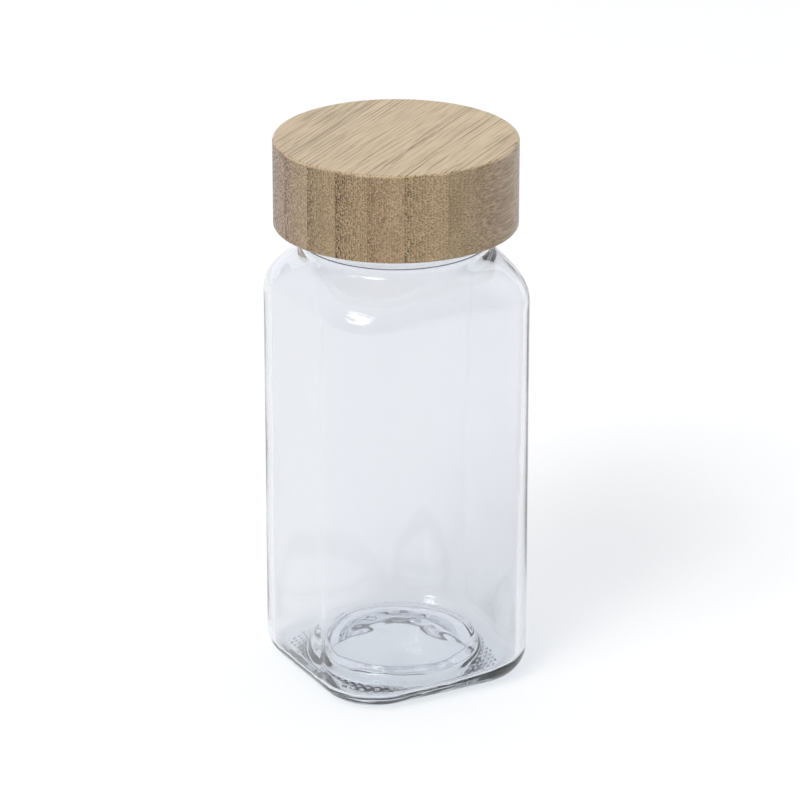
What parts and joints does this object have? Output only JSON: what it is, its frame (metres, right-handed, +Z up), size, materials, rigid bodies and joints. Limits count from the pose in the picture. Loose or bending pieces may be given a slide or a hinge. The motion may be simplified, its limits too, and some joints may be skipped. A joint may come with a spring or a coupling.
{
  "type": "spice jar",
  "caption": "Square clear glass spice jar with round corners and a screw lid turned from laminated bamboo.",
  "frame": {"origin": "centre of the base, on the surface that the jar stands on", "axes": "+Z up along the neck's axis, -Y towards the front, X and Y square to the body's flat sides"},
  "size_m": [0.049, 0.049, 0.114],
  "materials": {
    "clear_glass": "fire-polished clear soda-lime glass",
    "white_plastic": "moulded natural white polypropylene",
    "white_foam": "soft white polyethylene foam",
    "bamboo": "turned and sanded laminated bamboo, unvarnished"
  },
  "bodies": {
    "jar": {"glass_jar": "clear_glass", "sprinkler_plug": "white_plastic"},
    "seal": {"seal_disc": "white_foam"},
    "lid": {"threaded_liner": "white_plastic", "bamboo_strip_1": "bamboo", "bamboo_strip_2": "bamboo", "bamboo_strip_3": "bamboo", "bamboo_strip_4": "bamboo", "bamboo_strip_5": "bamboo", "bamboo_strip_6": "bamboo", "bamboo_strip_7": "bamboo"}
  },
  "joints": [
    {"name": "cap_lift", "type": "slide", "parent": "jar", "child": "seal", "axis": [0, 0, 1], "range_m": [0, 0.017]},
    {"name": "cap_turn", "type": "hinge", "parent": "seal", "child": "lid", "pos_m": [0, 0, 0.1], "axis": [0, 0, 1], "range_deg": [0, 1440]}
  ],
  "couplings": [
    {"joint": "cap_lift", "follows": "cap_turn", "m_per_rad": 0.0006737}
  ]
}
